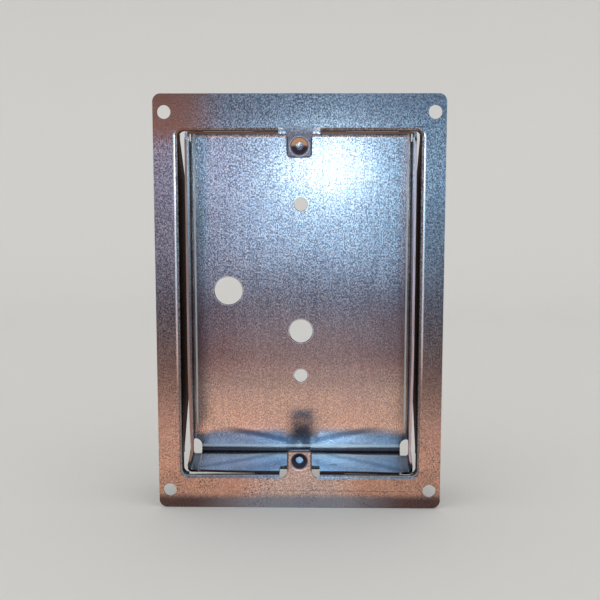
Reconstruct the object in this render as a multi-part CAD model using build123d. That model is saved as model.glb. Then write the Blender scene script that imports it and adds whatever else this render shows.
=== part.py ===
import os
from build123d import *

# Back box for a flush wall speaker, folded from galvanised sheet and spot welded.
# Two pieces: a flat front frame with a turned lip and two tapped lugs, and a folded pan nested inside the lip.
# Millimetres, upright as fixed in a wall: +Z up, the front faces -Y, the box runs into the wall along +Y.
# Origin: the middle of the four fixing holes, on the rear face of the flange, which seats on the wall.

# Sheet
sheet = 1.0

# Flange and its four fixing holes
flange_width = 125.0
flange_height = 182.0
flange_corner_radius = 3.4
fixing_gap_x = 115.4
fixing_gap_z = 166.4
fixing_hole_diameter = 5.8

# Opening, measured where the flange starts to turn into the lip
opening_width = 107.0
opening_height = 154.5
opening_corner_radius = 4.0
opening_drop = 0.5

# Lip around the opening, with a welding flap at the top and the bottom and a deeper flap at each side
lip_bend_radius = 1.7
lip_depth = 3.6
flap_depth = 18.0
flap_width = 40.0
side_lip_length = 141.0
side_lip_depth = 6.5
side_flap_depth = 24.0
side_flap_root_length = 137.0
side_flap_tip_length = 99.0
side_flap_rise = 3.0

# Beside the end flaps the lip is trimmed back into its bend, shallowest at the corners
trim_at_flap = 1.2
trim_at_corner = 0.15

# Lugs left in the plane of the flange, each with a plunged and tapped hole
lug_width = 11.0
lug_slot_width = 3.5
lug_hole_gap = 138.6
lug_end_margin = 4.9
lug_corner_radius = 1.8
lug_root_radius = 3.2
flap_window_depth = 12.0
dish_diameter = 7.8
dish_depth = 1.5
dish_round = 1.2
dish_rim = 0.3
tapped_hole_diameter = 3.3
collar_wall = 1.0
collar_length = 3.2

# Pan, nested in the lip
pan_depth = 35.0
weld_gap = 0.05
pan_setback = 0.6
pan_bend_radius = 1.3
wall_corner_radius = 3.0
end_wall_gap = 3.8
end_wall_taper = 1.1
notch_depth = 10.8

# Tabs at the ends of the side walls, folded in behind the end walls
tab_front = 6.0
tab_length = 7.4
tab_bend_radius = 1.0

# How far in the front edge of each wall stands: the side walls lean in and are pinched above their lower tabs
lean_left = 2.4
lean_right = 1.5
pinch_left = 3.3
pinch_right = 2.3
lower_end_left = 1.4
lower_end_right = 1.1
pinch_rise = 7.0
pinch_length = 50.0
spring_bottom_left = 0.6
drop_bottom_right = 0.65
spring_bottom_length = 30.0
spring_steps = 4

# Relief holes at the fold corners
lower_relief_radius = 3.5
upper_relief_radius = 2.0
relief_inset_x = 0.4
lower_relief_inset_z = 2.4
upper_relief_inset_z = 1.6

# Holes in the back plate
back_fixing_gap = 80.6
back_fixing_rise = 1.7
back_fixing_diameter = 6.1
cable_hole_diameter = 13.0
cable_hole_offset = 33.8
centre_hole_diameter = 10.9
centre_hole_drop = 17.3
punch_round = 0.35

# Spot welds, seen as shallow dimples in the end walls
weld_depth = 12.5
weld_left = 12.0
weld_right = 15.4
weld_diameter = 3.0
weld_dent = 0.25

# Worked out from the sizes above
front = -sheet
opening_top = opening_height / 2 - opening_drop
opening_bottom = -opening_height / 2 - opening_drop
lip_width = opening_width - 2 * lip_bend_radius
lip_height = opening_height - 2 * lip_bend_radius
lip_corner_radius = opening_corner_radius - lip_bend_radius
window_half = lug_width / 2 + lug_slot_width
pan_half_width = lip_width / 2 - weld_gap
pan_top = opening_top - lip_bend_radius - weld_gap
pan_bottom = opening_bottom + lip_bend_radius + weld_gap
pan_front = front + lip_bend_radius + pan_setback
pan_middle = (pan_top + pan_bottom) / 2
fold = pan_bend_radius + sheet
wall_foot = pan_depth - fold
side_low = pan_bottom + lip_corner_radius
side_high = pan_top - lip_corner_radius
end_wall_half = pan_half_width - sheet - end_wall_gap


def slab(outline, near, far):
    """A flat outline in X and Z made solid between two depths."""
    return Pos(0, far, 0) * extrude(Plane.XZ * outline, amount=far - near)


def plan_prism(points, low, high):
    """An outline in X and Y made solid between two heights."""
    return Pos(0, 0, low) * extrude(make_face(Polyline(*points, close=True)), amount=high - low)


def drill(x, z, diameter, near, far):
    return Pos(x, 0, z) * slab(Circle(diameter / 2), near, far)


def opening_outline(grow):
    """The lip's inner face as an outline, grown outwards by a given amount."""
    outline = RectangleRounded(lip_width + 2 * grow, lip_height + 2 * grow, lip_corner_radius + grow)
    return Pos(0, -opening_drop) * outline


def near_opening(edge, depth):
    """True for an edge of the opening, rather than the flange's outer edge, at the given depth."""
    middle = edge.center()
    inside = abs(middle.X) < opening_width / 2 and opening_bottom < middle.Z < opening_top
    return inside and abs(middle.Y - depth) < 0.01


# Front frame
def flap_outline(lip_length, lip, root, tip, flap):
    """A lip of one depth with a tapered flap on it, as points along the edge and in depth."""
    return [
        (-lip_length / 2, front),
        (lip_length / 2, front),
        (lip_length / 2, lip),
        (root / 2, lip),
        (tip / 2, flap),
        (-tip / 2, flap),
        (-root / 2, lip),
        (-lip_length / 2, lip),
    ]


def turned_lip():
    """The lip, short at the corners, with a tapered flap along each side of the opening."""
    deep = max(flap_depth, side_flap_depth)
    tube = slab(opening_outline(sheet), front, deep) - slab(opening_outline(0), front, deep)
    ends = flap_outline(flange_width, lip_depth, flap_width, flap_width, flap_depth)
    sides = flap_outline(
        side_lip_length, side_lip_depth, side_flap_root_length, side_flap_tip_length, side_flap_depth
    )
    end_block = plan_prism(ends, -flange_height / 2, flange_height / 2)
    side_block = Rot(0, 90, 0) * plan_prism(sides, -flange_width / 2, flange_width / 2)
    side_block = Pos(0, 0, side_flap_rise) * side_block
    return tube & (end_block + side_block)


def bent_frame():
    """Flange and lip joined by a true bend, its radius running round the corners."""
    flange = slab(RectangleRounded(flange_width, flange_height, flange_corner_radius), front, 0)
    body = flange - slab(opening_outline(0), front, 0) + turned_lip()
    body = fillet([e for e in body.edges() if near_opening(e, front)], lip_bend_radius)
    return fillet([e for e in body.edges() if near_opening(e, 0)], lip_bend_radius - sheet)


def end_trims():
    """Blocks that cut the top and bottom lip back into its bend, from the welding flaps to the corners."""
    near_x = flap_width / 2
    far_x = lip_width / 2 - lip_corner_radius
    corners = [(near_x, trim_at_flap), (far_x, trim_at_corner), (far_x, flap_depth), (near_x, flap_depth)]
    side = plan_prism(corners, -flange_height / 2, flange_height / 2)
    return side + mirror(side, Plane.YZ)


def lug_blank(hole_z, edge_z):
    """The flat sheet of one lug in the plane of the flange, its root curving into the edge of the opening."""
    inwards = -1 if hole_z > 0 else 1
    root = edge_z
    tip = hole_z + inwards * lug_end_margin
    base = Pos(0, edge_z - inwards * sheet / 2) * Rectangle(2 * window_half, sheet)
    lug = Pos(0, (edge_z + tip) / 2) * Rectangle(lug_width, abs(tip - edge_z))
    outline = base + lug
    tip_corners = [v for v in outline.vertices() if abs(v.Y - tip) < 0.01]
    outline = fillet(tip_corners, lug_corner_radius)
    at_root = [v for v in outline.vertices() if abs(v.Y - root) < 0.01]
    root_corners = [v for v in at_root if abs(abs(v.X) - lug_width / 2) < 0.01]
    root_radius = min(lug_root_radius, lug_slot_width * 0.95)
    return slab(fillet(root_corners, root_radius), front, 0)


def plunged_hole(hole_z):
    """Section of a plunged hole turned round its axis: a dished mouth, a tapped bore and a collar behind."""
    bore = tapped_hole_diameter / 2
    mouth = dish_diameter / 2
    rim = mouth + dish_rim
    collar = bore + collar_wall
    section = Polyline(
        (bore, collar_length),
        (bore, dish_depth),
        (mouth, 0),
        (rim, 0),
        (rim, sheet),
        (mouth - dish_rim, sheet),
        (collar, dish_depth + sheet / 2),
        (collar, collar_length),
        close=True,
    )
    section = make_face(section)
    mouth_edge = [v for v in section.vertices() if abs(v.Y) < 0.01 and abs(v.X - mouth) < 0.01]
    section = fillet(mouth_edge, min(dish_round, dish_rim * 2))
    return Pos(0, front, hole_z) * revolve(section, Axis.Y)


def front_frame():
    frame = bent_frame() - end_trims()
    hole_zs = (lug_hole_gap / 2 - opening_drop, -lug_hole_gap / 2 - opening_drop)
    for hole_z, edge_z in zip(hole_zs, (opening_top, opening_bottom)):
        inner_z = hole_z * 0.5
        window = Pos(0, (edge_z + inner_z) / 2) * Rectangle(2 * window_half, abs(edge_z - inner_z))
        frame -= slab(window, front, front + flap_window_depth)
        frame += lug_blank(hole_z, edge_z)
        frame -= drill(0, hole_z, dish_diameter + 2 * dish_rim, front, 0)
        frame += plunged_hole(hole_z)
    for x in (-fixing_gap_x / 2, fixing_gap_x / 2):
        for z in (-fixing_gap_z / 2, fixing_gap_z / 2):
            frame -= drill(x, z, fixing_hole_diameter, front, 0)
    return frame


# Back pan
def folded_wall(stations):
    """One wall lying along X, its outer face at z = 0 and its inner face above it, its foot at the fold.

    Each station gives a place along the wall and how far in the front edge stands there.
    """
    sections = []
    for x, inset in stations:
        corners = [
            (x, wall_foot, 0),
            (x, wall_foot, sheet),
            (x, pan_front, sheet + inset),
            (x, pan_front, inset),
        ]
        sections.append(make_face(Polyline(*corners, close=True)))
    return loft(sections, ruled=True)


def fold_strip(start, end):
    """The bend between the back plate and a wall, in the same place as folded_wall."""
    outer = Pos(0, wall_foot, fold) * Rot(0, 90, 0) * Cylinder(fold, end - start)
    inner = Pos(0, wall_foot, fold) * Rot(0, 90, 0) * Cylinder(pan_bend_radius, end - start)
    quarter = Pos(0, wall_foot + fold / 2, fold / 2) * Box(end - start, fold, fold)
    return Pos((start + end) / 2, 0, 0) * ((outer - inner) & quarter)


def wall_trim(start, end, taper):
    """A block that narrows a wall towards the front and rounds its two front corners."""
    corners = [
        (start, pan_depth),
        (end, pan_depth),
        (end - taper, pan_front),
        (start + taper, pan_front),
    ]
    outline = make_face(Polyline(*corners, close=True))
    front_corners = [v for v in outline.vertices() if v.Y < pan_front + 1]
    outline = fillet(front_corners, wall_corner_radius)
    return Pos(0, 0, -sheet) * extrude(outline, amount=pan_depth)


def wall(stations, taper):
    start = stations[0][0]
    end = stations[-1][0]
    sheet_wall = folded_wall(stations) & wall_trim(start, end, taper)
    return sheet_wall + fold_strip(start, end)


def tab_section(end, direction, depth, inset, gap):
    """Section through a side wall's end and its tab, bent inwards just clear of the end wall."""
    inner = end + direction * (lip_corner_radius + gap)
    outer = inner + direction * sheet
    corners = [
        (end, 0),
        (outer, 0),
        (outer, tab_length),
        (inner, tab_length),
        (inner, sheet),
        (end, sheet),
    ]
    outline = make_face(Polyline(*corners, close=True))
    outer_bend = [v for v in outline.vertices() if abs(v.X - outer) + abs(v.Y) < 0.01]
    outline = fillet(outer_bend, tab_bend_radius + sheet)
    inner_bend = [v for v in outline.vertices() if abs(v.X - inner) + abs(v.Y - sheet) < 0.01]
    outline = fillet(inner_bend, tab_bend_radius)
    shift = inset * (wall_foot - depth) / (wall_foot - pan_front)
    return (Pos(0, depth, shift) * (Plane.XZ * outline)).face()


def corner_tab(end, direction, inset, gap):
    sections = [tab_section(end, direction, depth, inset, gap) for depth in (tab_front, wall_foot)]
    return loft(sections, ruled=True)


def side_stations(lower_end, pinch, lean):
    """How far in a side wall's front edge stands at some heights, from the bottom to the top."""
    stations = [(side_low, lower_end)]
    for step in range(spring_steps + 1):
        share = step / spring_steps
        height = side_low + pinch_rise + share * pinch_length
        stations.append((height, lean + (pinch - lean) * (1 - share) ** 2))
    stations.append((side_high, lean))
    return stations


def side_wall(stations, first_gap, last_gap):
    body = wall(stations, 0)
    body += corner_tab(stations[0][0], -1, stations[0][1], first_gap)
    return body + corner_tab(stations[-1][0], 1, stations[-1][1], last_gap)


def weld_dents():
    """Two shallow dimples in the inner face of an end wall."""
    radius = (weld_diameter**2 / 4 + weld_dent**2) / (2 * weld_dent)
    dents = Part()
    for x in (-weld_left, weld_right):
        dents += Pos(x, front + weld_depth, sheet + radius - weld_dent) * Sphere(radius)
    return dents


def end_wall(stations):
    """Top or bottom wall, notched at the front to clear the lug and dimpled by the two spot welds."""
    body = wall(stations, end_wall_taper)
    notch_end = front + notch_depth
    notch = Pos(0, (pan_front + notch_end) / 2, 0) * Box(2 * window_half, notch_end - pan_front, 4 * sheet)
    return body - notch - weld_dents()


def back_plate():
    plate_width = 2 * (pan_half_width - fold)
    plate_height = pan_top - pan_bottom - 2 * fold
    return slab(Pos(0, pan_middle) * Rectangle(plate_width, plate_height), pan_depth - sheet, pan_depth)


def relief_holes():
    """The round reliefs where two folds would meet, large at the bottom and small at the top."""
    x = pan_half_width - sheet - relief_inset_x
    low = pan_bottom + sheet + lower_relief_inset_z
    high = pan_top - sheet - upper_relief_inset_z
    holes = Part()
    for side in (-1, 1):
        holes += Pos(side * x, pan_depth - sheet / 2, low) * Sphere(lower_relief_radius)
        holes += Pos(side * x, pan_depth - sheet / 2, high) * Sphere(upper_relief_radius)
    return holes


def punched_hole(x, z, diameter):
    """A punched hole, its front edge rolled over by the punch."""
    near = pan_depth - sheet
    hole = drill(x, z, diameter, near, pan_depth)
    mouth = Pos(x, near + punch_round / 2, z) * Rot(90, 0, 0)
    return hole + mouth * Cone(diameter / 2, diameter / 2 + punch_round, punch_round)


def back_holes():
    holes = punched_hole(-cable_hole_offset, back_fixing_rise, cable_hole_diameter)
    holes += punched_hole(0, -centre_hole_drop, centre_hole_diameter)
    for side in (-1, 1):
        holes += punched_hole(0, back_fixing_rise + side * back_fixing_gap / 2, back_fixing_diameter)
    return holes


def bottom_stations():
    """How far up the bottom wall's front edge stands: its left end has sprung up and its right end down."""
    shares = [step / spring_steps for step in range(spring_steps + 1)]
    places = [end_wall_half - share * spring_bottom_length for share in shares]
    left = [(-x, spring_bottom_left * (1 - share) ** 2) for x, share in zip(places, shares)]
    right = [(x, -drop_bottom_right * (1 - share) ** 2) for x, share in zip(places, shares)]
    return left + right[::-1]


def back_pan():
    top_stations = [(-end_wall_half, 0), (end_wall_half, 0)]
    right_stations = side_stations(lower_end_right, pinch_right, lean_right)
    left_stations = side_stations(lower_end_left, pinch_left, lean_left)
    # The left wall is made upside down, so its places along X are the heights with their sign turned
    left_stations = [(-height, inset) for height, inset in reversed(left_stations)]
    pan = back_plate()
    pan += Pos(0, 0, pan_bottom) * end_wall(bottom_stations())
    pan += Pos(0, 0, pan_top) * mirror(end_wall(top_stations), Plane.XY)
    drop_gap = weld_gap + drop_bottom_right
    pan += Pos(-pan_half_width, 0, 0) * Rot(0, 90, 0) * side_wall(left_stations, weld_gap, weld_gap)
    pan += Pos(pan_half_width, 0, 0) * Rot(0, -90, 0) * side_wall(right_stations, drop_gap, weld_gap)
    return pan - relief_holes() - back_holes()


os.makedirs("parts", exist_ok=True)
export_step(front_frame(), "parts/front_frame.step")
export_step(back_pan(), "parts/back_pan.step")
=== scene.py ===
import math

import bpy
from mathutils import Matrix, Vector


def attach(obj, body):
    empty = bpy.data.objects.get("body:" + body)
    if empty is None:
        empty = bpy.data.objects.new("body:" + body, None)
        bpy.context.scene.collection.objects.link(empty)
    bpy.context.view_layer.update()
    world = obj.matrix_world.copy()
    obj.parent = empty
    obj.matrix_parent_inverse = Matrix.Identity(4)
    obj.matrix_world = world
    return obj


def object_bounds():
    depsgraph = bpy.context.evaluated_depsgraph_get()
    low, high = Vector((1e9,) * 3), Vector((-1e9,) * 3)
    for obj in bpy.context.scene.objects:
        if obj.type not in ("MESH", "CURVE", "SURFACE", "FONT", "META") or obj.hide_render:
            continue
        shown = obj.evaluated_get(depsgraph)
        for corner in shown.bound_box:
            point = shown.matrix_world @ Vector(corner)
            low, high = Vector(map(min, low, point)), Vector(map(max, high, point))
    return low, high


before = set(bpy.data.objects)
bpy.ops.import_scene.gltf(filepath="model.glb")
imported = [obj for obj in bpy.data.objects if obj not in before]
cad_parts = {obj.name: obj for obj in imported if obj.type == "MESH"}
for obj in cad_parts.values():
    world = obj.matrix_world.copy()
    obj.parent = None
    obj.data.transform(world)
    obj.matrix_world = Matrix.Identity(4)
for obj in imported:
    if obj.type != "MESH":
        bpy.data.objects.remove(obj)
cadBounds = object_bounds()
scene = bpy.context.scene
scene.view_settings.view_transform = "Standard"  # the metal's bright spot clips as it does in the photo
print("frame loaded")


# Shader helpers

def makeNode(tree, kind, settings, inputs):
    made = tree.nodes.new("ShaderNode" + kind)
    for name, value in settings.items():
        setattr(made, name, value)
    for key, value in inputs.items():  # a socket's name, or its number where names repeat
        if isinstance(value, Wire):
            tree.links.new(value.socket, made.inputs[key])
        else:
            made.inputs[key].default_value = value
    return made


class Wire:  # a socket that takes part in sums
    def __init__(self, tree, socket):
        self.tree = tree
        self.socket = socket

    def sums(self, operation, first, second=0.0):
        made = makeNode(self.tree, "Math", {"operation": operation}, {0: first, 1: second})
        return Wire(self.tree, made.outputs[0])

    def __add__(self, other):
        return self.sums("ADD", self, other)

    def __radd__(self, other):
        return self.sums("ADD", other, self)

    def __sub__(self, other):
        return self.sums("SUBTRACT", self, other)

    def __rsub__(self, other):
        return self.sums("SUBTRACT", other, self)

    def __mul__(self, other):
        return self.sums("MULTIPLY", self, other)

    def __rmul__(self, other):
        return self.sums("MULTIPLY", other, self)

    def __truediv__(self, other):
        return self.sums("DIVIDE", self, other)

    def __pow__(self, other):
        return self.sums("POWER", self, other)

    def __abs__(self):
        return self.sums("ABSOLUTE", self)

    def least(self, other):
        return self.sums("MINIMUM", self, other)

    def most(self, other):
        return self.sums("MAXIMUM", self, other)


class Look:  # one node tree and what is added to it
    def __init__(self, tree):
        self.tree = tree
        tree.nodes.clear()

    def add(self, kind, inputs=None, output=0, **settings):
        made = makeNode(self.tree, kind, settings, inputs or {})
        return Wire(self.tree, made.outputs[output]) if len(made.outputs) else made

    def axes(self, vector):
        made = makeNode(self.tree, "SeparateXYZ", {}, {0: vector})
        return [Wire(self.tree, socket) for socket in made.outputs]

    def stretch(self, vector, shares):
        return self.add("VectorMath", {0: vector, 1: shares}, operation="MULTIPLY")

    def noise(self, vector, scale, detail, roughness):
        return self.add("TexNoise", {"Vector": vector, "Scale": scale, "Detail": detail, "Roughness": roughness})

    def cells(self, vector, scale, output="Distance"):
        return self.add("TexVoronoi", {"Vector": vector, "Scale": scale}, output, feature="F1")

    def ramp(self, value, start, full):  # a soft step: 0 at the start, 1 where it is full
        return self.add("MapRange", {"Value": value, "From Min": start, "From Max": full},
                        interpolation_type="SMOOTHSTEP")

    def zone(self, places, steps):  # the product of soft steps, each with a place, its start and where it is full
        mask = None
        for name, start, full in steps:
            step = self.ramp(places[name], start, full)
            mask = mask * step if mask else step
        return mask

    def mix(self, share, first, second, blend="MIX"):  # 6 and 7 are its colour sockets
        first, second = (colour if isinstance(colour, Wire) else (*colour, 1) for colour in (first, second))
        return self.add("Mix", {0: share, 6: first, 7: second}, 2, data_type="RGBA", blend_type=blend)

    def tint(self, share, colour, by):  # multiplies a colour, as far as the share goes
        return self.mix(share, colour, self.mix(1.0, colour, by, "MULTIPLY"))

    def finish(self, surface):
        self.add("OutputMaterial", {"Surface": self.add("BsdfPrincipled", surface)})


def newLook(name):
    material = bpy.data.materials.new(name)
    material.use_nodes = True
    return material, Look(material.node_tree)


# Zinc coated sheet. Shares run from 0 to 1, places are in metres

zincValues = {
    "paleZinc": (0.88, 0.90, 0.94),
    "darkZinc": (0.20, 0.21, 0.27),
    "warmReflectionColour": (0.86, 0.68, 0.57),
    "coolZinc": (0.46, 0.60, 0.72),
    "roseZinc": (0.72, 0.56, 0.64),
    "middleShadeColour": (0.42, 0.37, 0.40),
    "grime": (0.05, 0.035, 0.028),
    "lugShade": (0.16, 0.12, 0.13),
    "black": (0.0, 0.0, 0.0),
    "spangleSize": 0.0006,
    "grain": (2000.0, 1.5, 0.6),  # scale, detail and roughness of a pattern
    "grainStretch": (1.0, 1.0, 0.6),
    "streak": (900.0, 3.0, 0.6),
    "streakStretch": (1.0, 1.0, 0.06),
    "blotch": (60.0, 4.0, 0.6),
    "sweep": (14.0, 2.0, 0.5),
    "contrast": {"cells": 0.45, "grain": 2.5, "streak": 0.5, "range": (0.12, 0.88)},
    "warmReflectionPart": {"range": (0.005, -0.03), "wander": 0.03, "share": 0.32, "spangleLost": 0.45},
    "coolPart": {"range": (0.42, 0.68), "share": 0.22},
    "rosePart": {"range": (0.5, 0.72), "share": 0.25},
    "middleShadePart": {"top": (0.026, -0.008), "foot": (-0.050, -0.028), "wander": 0.02, "sides": (0.015, 0.045),
                 "middleShare": 0.75, "sideShare": 0.25},
    "dirt": {"pattern": (80.0, 3.0, 0.65), "low": (-0.03, -0.078), "highShare": 0.12, "lowShare": 0.88,
             "cover": 0.85},
    "specks": {"scale": 760.0, "size": (0.30, 0.12), "field": (0.50, 0.62), "share": 0.8},
    "fineSpecks": {"scale": 1300.0, "size": (0.36, 0.16), "field": (0.42, 0.60), "share": 0.7},
    "roughness": 0.19,
    "roughened": {"cells": 0.05, "blotches": 0.06, "specks": 0.3},
    "bump": {"cells": 0.3, "grain": 0.7, "depth": 0.00004},
    "wave": {"strength": 0.10, "depth": 0.0015},
}


def zincSheet(look, values, place):  # colour, roughness, normal and patterns that both pieces share
    zinc = zincValues
    x, y, z = look.axes(place)
    cellShade, cellTilt, cellGloss = look.axes(look.cells(place, 1 / zinc["spangleSize"], "Color"))
    grain = look.noise(look.stretch(place, zinc["grainStretch"]), *zinc["grain"])
    streak = look.noise(look.stretch(place, zinc["streakStretch"]), *zinc["streak"])
    blotch = look.noise(place, *zinc["blotch"])
    sweep = look.noise(place, *zinc["sweep"])

    warmReflection = zinc["warmReflectionPart"]  # painted reflection: the lower part is tinted warm and its spangle faded
    lowDown = look.ramp(z + (sweep - 0.5) * warmReflection["wander"], *warmReflection["range"])
    crisp = 1 - lowDown * warmReflection["spangleLost"]
    contrast = zinc["contrast"]
    pattern = (cellShade - 0.5) * contrast["cells"] + (grain - 0.5) * contrast["grain"] + (
        streak - 0.5) * contrast["streak"]
    shade = look.ramp(0.5 + pattern * crisp, *contrast["range"])
    colour = look.mix(shade, zinc["darkZinc"], zinc["paleZinc"])
    colour = look.mix(lowDown * warmReflection["share"], colour, zinc["warmReflectionColour"])
    cool = look.ramp(blotch, *zinc["coolPart"]["range"]) * zinc["coolPart"]["share"]
    colour = look.mix(cool * (1 - lowDown), colour, zinc["coolZinc"])
    rose = look.ramp(sweep, *zinc["rosePart"]["range"]) * zinc["rosePart"]["share"]
    colour = look.mix(rose, colour, zinc["roseZinc"])

    part = zinc["middleShadePart"]  # painted shade: a darker stretch across the middle, a little stronger at the sides
    middleShade = look.ramp(z + (sweep - 0.5) * part["wander"], *part["top"]) * look.ramp(z, *part["foot"])
    middleShade = middleShade * (part["middleShare"] + part["sideShare"] * look.ramp(abs(x), *part["sides"]))
    # painted shade: the frame's whole sheet is darkened, the pan's is left as it is
    colour = look.mix(1.0, colour, (values["shade"],) * 3, "MULTIPLY")
    colour = look.tint(middleShade * values["middleShadeShare"], colour, zinc["middleShadeColour"])

    dirt = zinc["dirt"]  # thickest along the lower edge
    dirtField = look.noise(place, *dirt["pattern"])
    amount = (dirt["highShare"] + dirt["lowShare"] * look.ramp(z, *dirt["low"])) * values["dirtShare"]
    specks = None
    for kind in (zinc["specks"], zinc["fineSpecks"]):
        dots = look.ramp(look.cells(place, kind["scale"]), *kind["size"])
        layer = dots * look.ramp(dirtField, *kind["field"]) * amount * kind["share"]
        specks = specks.most(layer) if specks else layer

    more = zinc["roughened"]
    rough = zinc["roughness"] + (cellGloss - 0.5) * more["cells"] + (
        blotch - 0.5) * more["blotches"] + specks * more["specks"]
    bumpHeight = cellTilt * zinc["bump"]["cells"] + grain * zinc["bump"]["grain"]
    bump = look.add("Bump", {"Height": bumpHeight, "Strength": crisp, "Distance": zinc["bump"]["depth"]})
    wave = look.add("Bump", {"Height": sweep, "Strength": zinc["wave"]["strength"],
                             "Distance": zinc["wave"]["depth"], "Normal": bump})
    return colour, rough, wave, specks, streak, sweep


# The front frame. Each zone lists soft steps: a place, where the zone starts and where it is full

frameValues = {
    # painted shade: the whole frame is darker than the pan
    "shade": 0.60,
    "dirtShare": 1.0,
    "middleShadeShare": 0.45,
    "sides": [("z", 0.055, 0.038), ("z", -0.060, -0.040)],
    "sidesShade": 0.08,
    "rightShade": 0.14,
    "leftToRight": (-0.04, 0.04),
    "top": [("z", 0.0790, 0.0810)],
    "topShade": 0.10,
    "footSides": [("wide", 0.020, 0.030), ("z", -0.072, -0.076)],
    "footSidesShade": 0.14,
    "footMiddle": [("wide", 0.030, 0.012), ("z", -0.060, -0.066)],
    "footMiddleBlueReflection": (0.96, 1.22, 1.46),
    "upperLeftShade": [("wavyX", -0.030, -0.052), ("z", 0.066, 0.078)],
    "upperLeftShadeWander": 0.03,
    "upperLeftShadeShare": 0.92,
    "upperLeftShadeColour": (0.36, 0.19, 0.125),
    "lip": [("y", -0.0008, 0.0004), ("wide", 0.0500, 0.0508), ("wide", 0.0552, 0.0545)],
    "lipStreaks": (0.45, 0.70),
    "lipShade": (0.30, 0.23, 0.21),
    "lipPale": (0.85, 0.66, 0.58),
    "bendPlace": 0.0535,
    "bendGlint": [("fromBend", 0.0006, 0.0002), ("z", -0.045, -0.010), ("z", 0.0750, 0.0730)],
    "glint": (1.0, 1.0, 1.0),
    "lugDrop": 0.0006,  # how far the middle between the lugs lies below the origin
    "lugHole": 0.0693,
    "dish": [("y", -0.00095, -0.0006), ("fromHole", 0.0046, 0.0042)],
    "dishHalves": (0.0684, 0.0698),
    "dishShade": (0.05, 0.04, 0.06),
    "dishWarmReflection": (1.0, 0.62, 0.38),
    "upperLug": [("wide", 0.0072, 0.0058), ("z", 0.0615, 0.0630), ("z", 0.0790, 0.0730), ("y", -0.0007, -0.0009)],
    "lugShare": 0.80,
    "lugSides": (0.0045, 0.0052),
    "lugTip": (0.0655, 0.0648),
    "lugFace": [("fromMiddle", 0.0742, 0.0728), ("wide", 0.0060, 0.0057), ("y", -0.0006, -0.0009)],
    "outlineShare": 0.85,
    "outlineColour": (0.04, 0.035, 0.045),
    "rimRadius": 0.0041,
    "rim": [("fromRim", 0.0004, 0.0002), ("y", -0.0006, -0.0009)],
    "rimShare": 0.32,
    "rimFoot": (-0.0725, -0.0735),
    "rimFootShare": 0.6,
    "rimHighlight": (0.80, 0.75, 0.82),
    "foot": [("wavyZ", -0.0840, -0.0878)],
    "footWander": 0.003,
    "footShare": 0.72,
    "footReach": (0.018, 0.050),
    "footMiddleColour": (0.22, 0.36, 0.50),
    "footEndColour": (0.03, 0.015, 0.02),
    "scratchHeight": -0.0834,
    "scratchWander": 0.0012,
    "scratch": [("fromScratch", 0.00022, 0.00010), ("x", -0.014, -0.010), ("x", 0.052, 0.048),
                ("streak", 0.42, 0.50)],
    "scratchShare": 0.65,
    "footRougher": 0.12,
    "lugRougher": 0.08,
}


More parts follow.
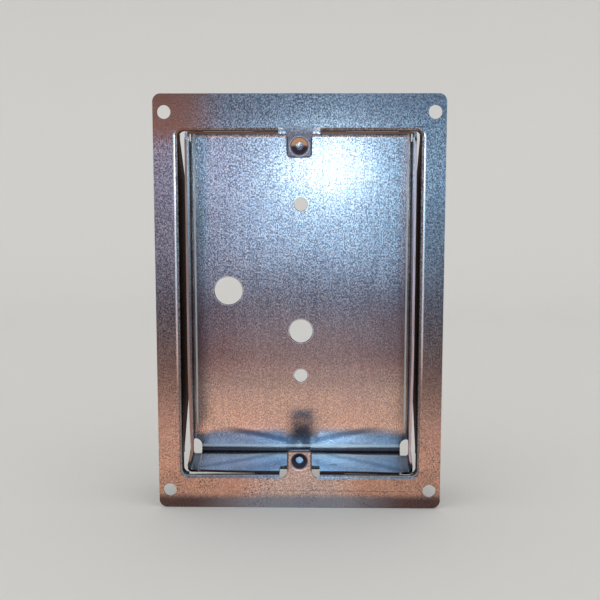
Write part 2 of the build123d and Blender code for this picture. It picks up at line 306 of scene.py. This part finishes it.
def frameMaterial():
    values = frameValues
    material, look = newLook("frameZinc")
    place = look.add("TexCoord", output="Object")
    x, y, z = look.axes(place)
    colour, rough, normal, specks, streak, sweep = zincSheet(look, values, place)
    wander = sweep - 0.5
    wide = abs(x)
    fromMiddle = abs(z + values["lugDrop"])
    fromHole = (x ** 2.0 + (fromMiddle - values["lugHole"]) ** 2.0) ** 0.5
    places = {"x": x, "y": y, "z": z, "wide": wide, "streak": streak, "fromMiddle": fromMiddle,
              "fromHole": fromHole, "fromRim": abs(fromHole - values["rimRadius"]),
              "fromBend": abs(wide - values["bendPlace"]),
              "fromScratch": abs(z - values["scratchHeight"] + wander * values["scratchWander"]),
              "wavyX": x + wander * values["upperLeftShadeWander"], "wavyZ": z + wander * values["footWander"]}

    # painted shade: the side flanges, the top and the ends of the foot darkened, the right side most
    sideShade = values["sidesShade"] + values["rightShade"] * look.ramp(x, *values["leftToRight"])
    darker = look.zone(places, values["sides"]) * sideShade + look.zone(places, values["top"]) * values["topShade"]
    darker = darker + look.zone(places, values["footSides"]) * values["footSidesShade"]
    colour = look.mix(darker, colour, zincValues["black"])
    # painted reflection: the middle of the lower flange and the lower lug made bluer
    colour = look.tint(look.zone(places, values["footMiddle"]), colour, values["footMiddleBlueReflection"])
    # painted shade: the upper left of the flange darkened to brown
    upperLeftShade = look.zone(places, values["upperLeftShade"]) * values["upperLeftShadeShare"]
    colour = look.mix(upperLeftShade, colour, values["upperLeftShadeColour"])

    # painted shade: the inner face of the lip darkened brown, with paler streaks
    lipColour = look.mix(look.ramp(streak, *values["lipStreaks"]), values["lipShade"], values["lipPale"])
    colour = look.tint(look.zone(places, values["lip"]), colour, lipColour)
    colour = look.mix(look.zone(places, values["bendGlint"]), colour, values["glint"])

    # painted reflection and shade: the upper half of the upper lug's dish warm, the rest of both dishes dark
    dishColour = look.mix(look.ramp(z, *values["dishHalves"]), values["dishShade"], values["dishWarmReflection"])
    colour = look.mix(look.zone(places, values["dish"]), colour, dishColour)
    # painted shade: the face of the upper lug darkened
    upperLug = look.zone(places, values["upperLug"])
    colour = look.mix(upperLug * values["lugShare"], colour, zincValues["lugShade"])
    # painted shade: a dark line along the sides and tips of both lugs
    outline = look.ramp(wide, *values["lugSides"]).most(look.ramp(fromMiddle, *values["lugTip"]))
    outline = outline * look.zone(places, values["lugFace"]) * values["outlineShare"]
    colour = look.mix(outline, colour, values["outlineColour"])
    # painted highlight: a pale ring around each lug's dish, strongest on the lower lug
    rimShare = values["rimShare"] + values["rimFootShare"] * look.ramp(z, *values["rimFoot"])
    colour = look.mix(look.zone(places, values["rim"]) * rimShare, colour, values["rimHighlight"])

    # painted reflection: the lowest strip of the flange is bluish in the middle, darkening to near black at its ends
    foot = look.zone(places, values["foot"])
    footColour = look.mix(look.ramp(wide, *values["footReach"]), values["footMiddleColour"], values["footEndColour"])
    colour = look.mix(foot * values["footShare"], colour, footColour)
    scratch = look.zone(places, values["scratch"]) * values["scratchShare"]
    marks = (specks * zincValues["dirt"]["cover"]).most(scratch)
    colour = look.mix(marks, colour, zincValues["grime"])
    rough = rough + foot * values["footRougher"] + upperLug * values["lugRougher"]
    look.finish({"Base Color": colour, "Roughness": rough, "Metallic": 1.0, "Normal": normal})
    return material


# The pan behind it, marked by its folds and by the shadows that lie in them

inside = ("y", 0.0349, 0.0343)  # all but the rear face of the plate
bottomWall = ("z", -0.0735, -0.0742)
cutEdge = ("y", 0.0019, 0.0015)  # the bare edge of the sheet at the front

panValues = {
    "shade": 1.0,
    "dirtShare": 0.45,
    "middleShadeShare": 0.90,
    "copper": [("z", -0.034, -0.042), ("z", -0.0650, -0.0620), inside],
    "copperShade": (0.80, 0.85, 0.85),
    "sides": [("wide", 0.022, 0.042), ("z", 0.005, 0.025)],
    "sidesShade": 0.18,
    "paleCorner": [("x", 0.0, -0.01), ("z", 0.035, 0.055)],
    "band": [("z", -0.0625, -0.0650), ("z", -0.0735, -0.0725), ("x", -0.030, -0.006), inside],
    "bandShade": (0.62, 0.76, 0.86),
    "bottomMiddle": [bottomWall, ("wide", 0.030, 0.010)],
    "bottomBlueReflection": (1.0, 1.30, 1.40),
    "sideFoldPlace": 0.0490,
    "bottomFoldPlace": -0.0724,
    "sideFold": [("fromSideFold", 0.0006, 0.0002), ("z", -0.066, -0.060)],
    "bottomFold": [("fromBottomFold", 0.0009, 0.0003)],
    "foldFace": [("y", 0.0305, 0.0325), inside],
    "foldShare": 0.9,
    "foldGlow": 0.80,  # how much of the metal gives way to a painted highlight along the folds
    "glint": (0.80, 0.94, 1.0),
    "shadow": (0.030, 0.032, 0.045),
    "shadowStart": 0.0314,  # how far back the shadow starts in the middle
    "shadowSoft": 0.0010,
    "shadowDepth": 0.0042,  # how much further forward it starts at the sides
    "shadowReach": (0.004, 0.032),
    "shadowHeight": (-0.0728, -0.0738),
    "shadowShare": 0.92,
    "lowCorner": [("wide", 0.0460, 0.0470), ("z", -0.0690, -0.0712)],
    "cornerShare": 0.85,
    "darkReflectionHeight": -0.0638,
    "darkReflectionDrop": 0.0078,
    "darkReflectionLength": 0.045,
    "darkReflectionBow": 1.6,
    "darkReflection": [inside, ("fromDarkReflection", 0.0022, 0.0004), ("wide", 0.044, 0.026), ("wide", 0.0045, 0.0080),
               ("y", 0.030, 0.033)],
    "wallReflectionStart": (0.010, 0.0300),  # across and back
    "wallReflectionSlope": 0.70,
    "wallReflection": [inside, bottomWall, ("fromWallReflection", 0.0050, 0.0005), ("wide", 0.010, 0.014)],
    "wallReflectionShare": 0.7,
    "darkReflectionShare": 0.80,
    "darkReflectionColour": (0.10, 0.13, 0.19),
    "wallPlace": (0.0492, 0.0498),
    "wallStreaks": (0.40, 0.70),
    "wallShade": (0.46, 0.41, 0.38),
    "wallPale": (0.78, 0.74, 0.74),
    "sideEdge": [cutEdge, ("wide", 0.0465, 0.0470)],
    "leftEdgeColour": (0.40, 0.29, 0.25),
    "rightEdgeColour": (0.74, 0.66, 0.74),
    "leftToRight": (-0.01, 0.01),
    "edgeStreaks": (0.50, 0.62),
    "edgeStreakShare": 0.7,
    "topEdge": [cutEdge, ("z", 0.070, 0.072)],
    "topEdgeColour": (0.23, 0.115, 0.07),
    "bottomEdge": [cutEdge, ("z", -0.070, -0.072)],
    "bottomEdgeColour": (0.05, 0.045, 0.05),
    "edgeRougher": 0.15,
    "holes": ((-0.0338, 0.0017, 0.0065), (0.0, -0.0173, 0.00545), (0.0, 0.042, 0.00305), (0.0, -0.0386, 0.00305)),
    "rimOffset": 0.00015,
    "rimWidth": (0.00055, 0.00025),
    "rimShare": 0.75,
    "rimHighlight": (0.95, 0.94, 0.93),
}


def panMaterial():
    values = panValues
    material, look = newLook("panZinc")
    place = look.add("TexCoord", output="Object")
    x, y, z = look.axes(place)
    colour, rough, normal, specks, streak, sweep = zincSheet(look, values, place)
    wide = abs(x)
    bow = (1 - (wide / values["darkReflectionLength"]).least(1.0)) ** values["darkReflectionBow"]
    startAcross, startBack = values["wallReflectionStart"]
    wallReflectionPlace = startBack - values["wallReflectionSlope"] * (wide - startAcross)
    places = {"x": x, "y": y, "z": z, "wide": wide, "fromSideFold": abs(wide - values["sideFoldPlace"]),
              "fromBottomFold": abs(z - values["bottomFoldPlace"]),
              "fromDarkReflection": abs(z - (values["darkReflectionHeight"] - values["darkReflectionDrop"] * bow)),
              "fromWallReflection": abs(y - wallReflectionPlace)}

    # painted shade: the copper-coloured stretch low on the plate darkened
    colour = look.tint(look.zone(places, values["copper"]), colour, values["copperShade"])
    # painted shade: the upper sides of the plate darkened, except its upper left corner
    sides = look.zone(places, values["sides"]) * values["sidesShade"]
    colour = look.mix(sides * (1 - look.zone(places, values["paleCorner"])), colour, zincValues["black"])
    # painted shade: a band above the bottom fold, left of the middle, darkened and cooled
    colour = look.tint(look.zone(places, values["band"]), colour, values["bandShade"])
    # painted reflection: the middle of the bottom wall made bluer
    colour = look.tint(look.zone(places, values["bottomMiddle"]), colour, values["bottomBlueReflection"])

    # painted highlight: bright lines along the side folds and the bottom fold of the plate
    folds = look.zone(places, values["sideFold"]).most(look.zone(places, values["bottomFold"]))
    folds = folds * look.zone(places, values["foldFace"])
    colour = look.mix(folds * values["foldShare"], colour, values["glint"])
    shadowStart = values["shadowStart"] - values["shadowDepth"] * look.ramp(wide, *values["shadowReach"])
    shadow = look.ramp(y, shadowStart, shadowStart + values["shadowSoft"]) * look.ramp(z, *values["shadowHeight"])
    colour = look.mix(shadow * values["shadowShare"], colour, values["shadow"])
    colour = look.mix(look.zone(places, values["lowCorner"]) * values["cornerShare"], colour, values["shadow"])
    # painted reflections: dark lines on the plate above the bottom fold, dipping towards the middle, and dark
    # slanting lines on the bottom wall
    wallReflection = look.zone(places, values["wallReflection"]) * values["wallReflectionShare"]
    darkReflections = look.zone(places, values["darkReflection"]).most(wallReflection) * values["darkReflectionShare"]
    colour = look.mix(darkReflections, colour, values["darkReflectionColour"])

    # painted shade: the side walls darkened brown, with paler streaks
    sideWall = look.ramp(wide, *values["wallPlace"]) * (1 - folds)
    wallColour = look.mix(look.ramp(streak, *values["wallStreaks"]), values["wallShade"], values["wallPale"])
    colour = look.tint(sideWall, colour, wallColour)
    # the front cut edge of the pan's walls: brown as bare steel, with painted light and shade over it, paler on the
    # right and near black along the bottom
    sideEdge = look.mix(look.ramp(x, *values["leftToRight"]), values["leftEdgeColour"], values["rightEdgeColour"])
    edgeStreaks = look.ramp(streak, *values["edgeStreaks"]) * values["edgeStreakShare"]
    sideEdge = look.mix(edgeStreaks, sideEdge, values["wallShade"])
    colour = look.mix(look.zone(places, values["sideEdge"]), colour, sideEdge)
    colour = look.mix(look.zone(places, values["topEdge"]), colour, values["topEdgeColour"])
    colour = look.mix(look.zone(places, values["bottomEdge"]), colour, values["bottomEdgeColour"])

    for acrossHole, upHole, radius in values["holes"]:  # painted highlight: a bright ring around each punched hole
        fromCentre = ((x - acrossHole) ** 2.0 + (z - upHole) ** 2.0) ** 0.5
        rim = look.ramp(abs(fromCentre - (radius + values["rimOffset"])), *values["rimWidth"])
        colour = look.mix(rim * values["rimShare"], colour, values["rimHighlight"])
    colour = look.mix(specks * zincValues["dirt"]["cover"], colour, zincValues["grime"])
    rough = rough + look.zone(places, [cutEdge]) * values["edgeRougher"]
    look.finish({"Base Color": colour, "Roughness": rough, "Metallic": 1 - folds * values["foldGlow"],
                 "Normal": normal})
    return material


def dress(node, material):
    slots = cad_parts[node].data.materials
    slots.clear()
    slots.append(material)


panSheet = panMaterial()
dress("front_frame", frameMaterial())
dress("back_pan", panSheet)
print("sheet dressed")


# The two upper corners of the pan, where the top wall runs on to the side wall and closes the corner

cornerValues = {"inner": 0.0440, "outer": 0.0503, "front": 0.00135, "back": 0.0345, "top": 0.0745,
                "foot": 0.0700, "bend": 0.0018, "bendSteps": 8, "sheet": 0.00102, "smoothBelow": 30,
                "taper": {"left": 0.0024, "right": 0.0016}}
near = 0.0001  # how close a vertex has to be to a place to count as there


def selectEdges(thing, wanted):  # picks the edges whose two ends both pass a test
    bpy.ops.object.mode_set(mode="EDIT")
    bpy.ops.mesh.select_mode(type="EDGE")
    bpy.ops.mesh.select_all(action="DESELECT")
    bpy.ops.object.mode_set(mode="OBJECT")
    for edge in thing.data.edges:
        edge.select = all(wanted(thing.data.vertices[v].co) for v in edge.vertices)
    bpy.ops.object.mode_set(mode="EDIT")


def makeCornerSheet(side):
    values = cornerValues
    sign = -1 if side == "left" else 1
    length = values["back"] - values["front"]
    width = values["outer"] - values["inner"]
    bpy.ops.object.select_all(action="DESELECT")
    bpy.ops.mesh.primitive_plane_add(size=1, location=(
        sign * (values["inner"] + values["outer"]) / 2, (values["back"] + values["front"]) / 2, values["top"]))
    sheet = bpy.context.object
    sheet.name = side + "_corner_sheet"
    sheet.scale = (width, length, 1)
    bpy.ops.object.transform_apply(location=True, rotation=True, scale=True)
    for vertex in sheet.data.vertices:  # the strip narrows towards the front
        if vertex.co.y < values["front"] + near and abs(vertex.co.x) > values["outer"] - near:
            vertex.co.x -= sign * values["taper"][side]
    selectEdges(sheet, lambda co: co.y > values["back"] - near)
    bpy.ops.mesh.extrude_region_move(TRANSFORM_OT_translate={"value": (0, 0, values["foot"] - values["top"])})
    selectEdges(sheet, lambda co: co.y > values["back"] - near and co.z > values["top"] - near)
    bpy.ops.mesh.bevel(offset=values["bend"], segments=values["bendSteps"], affect="EDGES")
    bpy.ops.object.mode_set(mode="OBJECT")
    thick = sheet.modifiers.new("thickness", "SOLIDIFY")
    thick.thickness = values["sheet"]
    thick.offset = 0
    bpy.ops.object.modifier_apply(modifier=thick.name)
    bpy.ops.object.shade_smooth_by_angle(angle=math.radians(values["smoothBelow"]))
    sheet.data.materials.append(panSheet)
    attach(sheet, "root")


makeCornerSheet("left")
makeCornerSheet("right")
print("upper corners closed")


# Floor and backdrop

stageValues = {"wallBehind": 0.9, "halfWidth": 3.0, "front": -2.0, "height": 2.4, "bend": 0.35, "bendSteps": 16,
               "gap": 0.0002, "colour": (0.80, 0.79, 0.77), "mottle": (6.0, 3.0, 0.5),
               "mottleColour": (0.6, 0.6, 0.6), "mottleShare": 0.08, "roughness": 0.9}


def makeStage():
    values = stageValues
    floorHeight = cadBounds[0][2] - values["gap"]
    bpy.ops.object.select_all(action="DESELECT")
    bpy.ops.mesh.primitive_plane_add(size=1, location=(0, (values["wallBehind"] + values["front"]) / 2, floorHeight))
    floor = bpy.context.object
    floor.name = "studioFloor"
    floor.scale = (2 * values["halfWidth"], values["wallBehind"] - values["front"], 1)
    bpy.ops.object.transform_apply(location=True, rotation=True, scale=True)
    selectEdges(floor, lambda co: co.y > values["wallBehind"] - near)
    bpy.ops.mesh.extrude_region_move(TRANSFORM_OT_translate={"value": (0, 0, values["height"])})
    selectEdges(floor, lambda co: co.y > values["wallBehind"] - near and co.z < floorHeight + near)
    bpy.ops.mesh.bevel(offset=values["bend"], segments=values["bendSteps"], affect="EDGES")
    bpy.ops.object.mode_set(mode="OBJECT")
    bpy.ops.object.shade_smooth()
    material, look = newLook("paleCard")
    mottle = look.noise(look.add("TexCoord", output="Object"), *values["mottle"])
    colour = look.mix(mottle * values["mottleShare"], values["colour"], values["mottleColour"])
    look.finish({"Base Color": colour, "Roughness": values["roughness"]})
    floor.data.materials.append(material)
    floor.visible_glossy = False


makeStage()
print("stage made")


# Camera and lights

cameraValues = {"place": (0.0097, -0.4783, 0.0726), "down": 8.34, "left": 1.13, "lens": 66.63, "sensor": 36,
                "nearest": 0.01}


def makeCamera():
    data = bpy.data.cameras.new("viewCamera")
    data.lens = cameraValues["lens"]
    data.sensor_width = cameraValues["sensor"]
    data.clip_start = cameraValues["nearest"]
    camera = bpy.data.objects.new("viewCamera", data)
    camera.location = cameraValues["place"]
    camera.rotation_euler = (math.radians(90 - cameraValues["down"]), 0, math.radians(cameraValues["left"]))
    scene.collection.objects.link(camera)
    scene.camera = camera


lightValues = {"place": (0.0172, -0.478, 0.047), "aim": (0.0172, 0, 0.047), "size": 0.02, "power": 0.055,
               "colour": (0.72, 0.90, 1.0)}


def makeLight():
    values = lightValues
    data = bpy.data.lights.new("lensLight", "AREA")
    data.shape = "DISK"
    data.size = values["size"]
    data.energy = values["power"]
    data.color = values["colour"]
    lamp = bpy.data.objects.new("lensLight", data)
    lamp.location = values["place"]
    towards = Vector(values["aim"]) - Vector(values["place"])
    lamp.rotation_euler = towards.to_track_quat("-Z", "Y").to_euler()
    lamp.visible_camera = False
    scene.collection.objects.link(lamp)


# The world that the zinc reflects, by direction: x across, y away from the camera, z up

worldValues = {
    "seen": (0.86, 0.86, 0.85),  # for all but reflections
    "dark": (0.095, 0.065, 0.08),
    "behind": (0.34, 0.42, 0.52),
    "behindLow": (0.10, 0.068, 0.055),
    "behindHeights": (0.03, 0.14),
    "behindStart": (-0.3, 0.2),
    "room": (0.62, 0.65, 0.70),
    "roomFloor": (0.46, 0.42, 0.40),
    "roomHeights": (0.05, -0.25),
    "roomSides": (0.34, 0.56),
    "roomAbove": (0.42, 0.62),
    "lid": [("z", -0.01, 0.035), ("z", 0.16, 0.10)],  # a dark stretch over the lens
    "lidShare": 0.6,
    "cards": {  # soft cards around the lens: middle and reach across and up, bright core, colour
        "halo": ((0.02, -0.035), (0.25, 0.165), 0.10, (0.60, 1.16, 1.62)),
        "rose": ((-0.18, -0.03), (0.13, 0.09), 0.0, (1.85, 1.00, 1.08)),
        "frost": ((0.18, -0.03), (0.12, 0.09), 0.0, (0.55, 1.00, 1.30)),
        "copper": ((-0.02, -0.252), (0.60, 0.068), 0.30, (0.63, 0.40, 0.24)),
        "ember": ((-0.08, -0.300), (0.60, 0.062), 0.2, (2.10, 1.10, 0.68)),
        "sky": ((0.04, 0.27), (0.45, 0.17), 0.3, (0.42, 0.90, 1.42)),
    },
}


def makeWorld():
    values = worldValues
    world = bpy.data.worlds.new("studio")
    scene.world = world
    world.use_nodes = True
    look = Look(world.node_tree)
    x, y, z = look.axes(look.add("TexCoord", output="Generated"))
    colour = values["dark"]
    for middle, reach, core, shine in values["cards"].values():
        across = (x - middle[0]) / reach[0]
        up = (z - middle[1]) / reach[1]
        distance = (across * across + up * up) ** 0.5
        colour = look.mix(look.ramp(distance, 1.0, core), colour, shine, "ADD")
    colour = look.mix(look.zone({"z": z}, values["lid"]) * values["lidShare"], colour, values["dark"])
    behind = look.mix(look.ramp(z, *values["behindHeights"]), values["behindLow"], values["behind"])
    colour = look.mix(look.ramp(y, *values["behindStart"]), colour, behind)
    around = look.ramp(abs(x), *values["roomSides"]).most(look.ramp(abs(z), *values["roomAbove"]))
    room = look.mix(look.ramp(z, *values["roomHeights"]), values["room"], values["roomFloor"])
    colour = look.mix(around, colour, room)
    reflected = look.add("LightPath", output="Is Glossy Ray")
    colour = look.mix(reflected, values["seen"], colour)
    look.add("OutputWorld", {"Surface": look.add("Background", {"Color": colour, "Strength": 1.0})})


makeCamera()
makeLight()
makeWorld()
print("camera and lights made")
